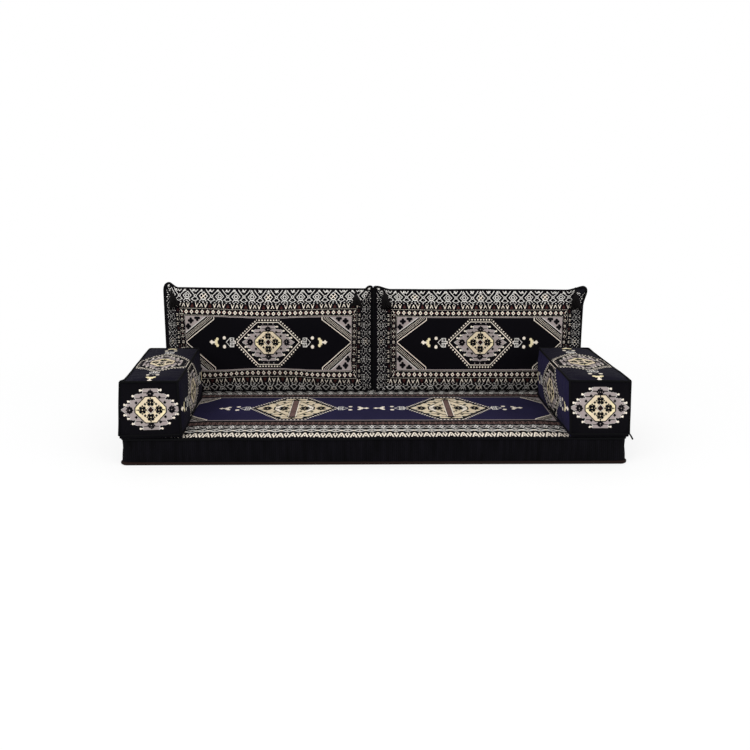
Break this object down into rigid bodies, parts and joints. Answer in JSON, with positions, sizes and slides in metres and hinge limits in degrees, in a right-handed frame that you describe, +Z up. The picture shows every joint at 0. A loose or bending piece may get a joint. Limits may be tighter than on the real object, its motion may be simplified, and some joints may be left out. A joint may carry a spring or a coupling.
{
  "type": "majlis floor sofa",
  "caption": "Low floor sofa: a flat piped seat mattress, box arm bolsters and knife-edged back cushions with tassels, in patterned cloth.",
  "frame": {"origin": "middle of the seat mattress's flat underside, on the floor", "axes": "+Z up, +X to the right as a person in front sees it, the front faces -Y"},
  "size_m": [2.0315, 0.7867, 0.6166],
  "materials": {
    "patterned_cloth": "jacquard cloth with a cream and dark ornament",
    "ribbed_chenille": "black ribbed chenille band",
    "black_piping": "black cloth over piping cord",
    "base_welt": "thick reddish brown welt",
    "lining_cloth": "plain dark cloth",
    "foam": "upholstery foam",
    "fibre_filling": "polyester fibre filling",
    "tassel_thread": "black twisted rayon thread",
    "zip_tape": "woven zip tape",
    "zip_coil": "black nylon coil",
    "zip_metal": "dark lacquered zinc"
  },
  "bodies": {
    "seat": {"seat_foam_core": "foam", "seat_top_panel": "patterned_cloth", "seat_front_band": "ribbed_chenille", "seat_left_band": "ribbed_chenille", "seat_right_band": "ribbed_chenille", "seat_rear_band": "ribbed_chenille", "seat_base_panel": "lining_cloth", "seat_top_piping": "black_piping", "seat_base_piping": "base_welt", "seat_zip_tapes": "zip_tape", "seat_zip_coils": "zip_coil"},
    "left_arm": {"left_arm_foam_core": "foam", "left_arm_top_panel": "patterned_cloth", "left_arm_inner_panel": "patterned_cloth", "left_arm_outer_panel": "lining_cloth", "left_arm_front_panel": "patterned_cloth", "left_arm_rear_panel": "lining_cloth", "left_arm_base_panel": "lining_cloth", "left_arm_piping": "black_piping", "left_arm_zip_tapes": "zip_tape", "left_arm_zip_coils": "zip_coil"},
    "right_arm": {"right_arm_foam_core": "foam", "right_arm_top_panel": "patterned_cloth", "right_arm_inner_panel": "patterned_cloth", "right_arm_outer_panel": "lining_cloth", "right_arm_front_panel": "patterned_cloth", "right_arm_rear_panel": "lining_cloth", "right_arm_base_panel": "lining_cloth", "right_arm_piping": "black_piping", "right_arm_zip_tapes": "zip_tape", "right_arm_zip_coils": "zip_coil"},
    "left_back": {"left_back_filling": "fibre_filling", "left_back_front_panel": "patterned_cloth", "left_back_rear_panel": "lining_cloth", "left_back_piping": "black_piping", "left_back_zip_tapes": "zip_tape", "left_back_zip_coils": "zip_coil"},
    "left_back_left_tassel": {"left_back_left_tassel": "tassel_thread"},
    "left_back_right_tassel": {"left_back_right_tassel": "tassel_thread"},
    "right_back": {"right_back_filling": "fibre_filling", "right_back_front_panel": "patterned_cloth", "right_back_rear_panel": "lining_cloth", "right_back_piping": "black_piping", "right_back_zip_tapes": "zip_tape", "right_back_zip_coils": "zip_coil"},
    "right_back_left_tassel": {"right_back_left_tassel": "tassel_thread"},
    "right_back_right_tassel": {"right_back_right_tassel": "tassel_thread"},
    "seat_zip_slider": {"seat_zip_slider": "zip_metal"},
    "seat_zip_pull": {"seat_zip_pull": "zip_metal"},
    "left_arm_zip_slider": {"left_arm_zip_slider": "zip_metal"},
    "left_arm_zip_pull": {"left_arm_zip_pull": "zip_metal"},
    "right_arm_zip_slider": {"right_arm_zip_slider": "zip_metal"},
    "right_arm_zip_pull": {"right_arm_zip_pull": "zip_metal"},
    "left_back_zip_slider": {"left_back_zip_slider": "zip_metal"},
    "left_back_zip_pull": {"left_back_zip_pull": "zip_metal"},
    "right_back_zip_slider": {"right_back_zip_slider": "zip_metal"},
    "right_back_zip_pull": {"right_back_zip_pull": "zip_metal"}
  },
  "joints": [
    {"name": "left_arm_lift", "type": "slide", "parent": "seat", "child": "left_arm", "axis": [0, 0, 1], "range_m": [0, 0.35]},
    {"name": "right_arm_lift", "type": "slide", "parent": "seat", "child": "right_arm", "axis": [0, 0, 1], "range_m": [0, 0.35]},
    {"name": "left_back_lift", "type": "slide", "parent": "seat", "child": "left_back", "axis": [0, 0, 1], "range_m": [0, 0.35]},
    {"name": "right_back_lift", "type": "slide", "parent": "seat", "child": "right_back", "axis": [0, 0, 1], "range_m": [0, 0.35]},
    {"name": "left_back_left_tassel_swing", "type": "hinge", "parent": "left_back", "child": "left_back_left_tassel", "pos_m": [-0.95, 0.34582, 0.60493], "axis": [-1, 0, 0], "range_deg": [0, 100]},
    {"name": "left_back_right_tassel_swing", "type": "hinge", "parent": "left_back", "child": "left_back_right_tassel", "pos_m": [-0.081, 0.3452, 0.59625], "axis": [-1, 0, 0], "range_deg": [0, 100]},
    {"name": "right_back_left_tassel_swing", "type": "hinge", "parent": "right_back", "child": "right_back_left_tassel", "pos_m": [0.052, 0.34582, 0.60493], "axis": [-1, 0, 0], "range_deg": [0, 100]},
    {"name": "right_back_right_tassel_swing", "type": "hinge", "parent": "right_back", "child": "right_back_right_tassel", "pos_m": [0.958, 0.34582, 0.60493], "axis": [-1, 0, 0], "range_deg": [0, 100]},
    {"name": "seat_zip_slide", "type": "slide", "parent": "seat", "child": "seat_zip_slider", "axis": [1, 0, 0], "range_m": [0, 1.854]},
    {"name": "seat_zip_pull_swing", "type": "hinge", "parent": "seat_zip_slider", "child": "seat_zip_pull", "pos_m": [-0.927, 0.3833, 0.068], "axis": [1, 0, 0], "range_deg": [0, 150]},
    {"name": "left_arm_zip_slide", "type": "slide", "parent": "left_arm", "child": "left_arm_zip_slider", "axis": [0.9981, 0.061, 0], "range_m": [0, 0.13657]},
    {"name": "left_arm_zip_pull_swing", "type": "hinge", "parent": "left_arm_zip_slider", "child": "left_arm_zip_pull", "pos_m": [-0.98087, 0.18655, 0.2268], "axis": [0.9981, 0.061, 0], "range_deg": [0, 150]},
    {"name": "right_arm_zip_slide", "type": "slide", "parent": "right_arm", "child": "right_arm_zip_slider", "axis": [1, 0, 0], "range_m": [0, 0.13657]},
    {"name": "right_arm_zip_pull_swing", "type": "hinge", "parent": "right_arm_zip_slider", "child": "right_arm_zip_pull", "pos_m": [0.80921, 0.1918, 0.2268], "axis": [1, 0, 0], "range_deg": [0, 150]},
    {"name": "left_back_zip_slide", "type": "slide", "parent": "left_back", "child": "left_back_zip_slider", "axis": [1, 0, 0], "range_m": [0, 0.58333]},
    {"name": "left_back_zip_pull_swing", "type": "hinge", "parent": "left_back_zip_slider", "child": "left_back_zip_pull", "pos_m": [-0.78866, 0.39302, 0.29713], "axis": [1, 0, 0], "range_deg": [0, 150]},
    {"name": "right_back_zip_slide", "type": "slide", "parent": "right_back", "child": "right_back_zip_slider", "axis": [1, 0, 0], "range_m": [0, 0.58333]},
    {"name": "right_back_zip_pull_swing", "type": "hinge", "parent": "right_back_zip_slider", "child": "right_back_zip_pull", "pos_m": [0.21334, 0.39302, 0.29713], "axis": [1, 0, 0], "range_deg": [0, 150]}
  ]
}
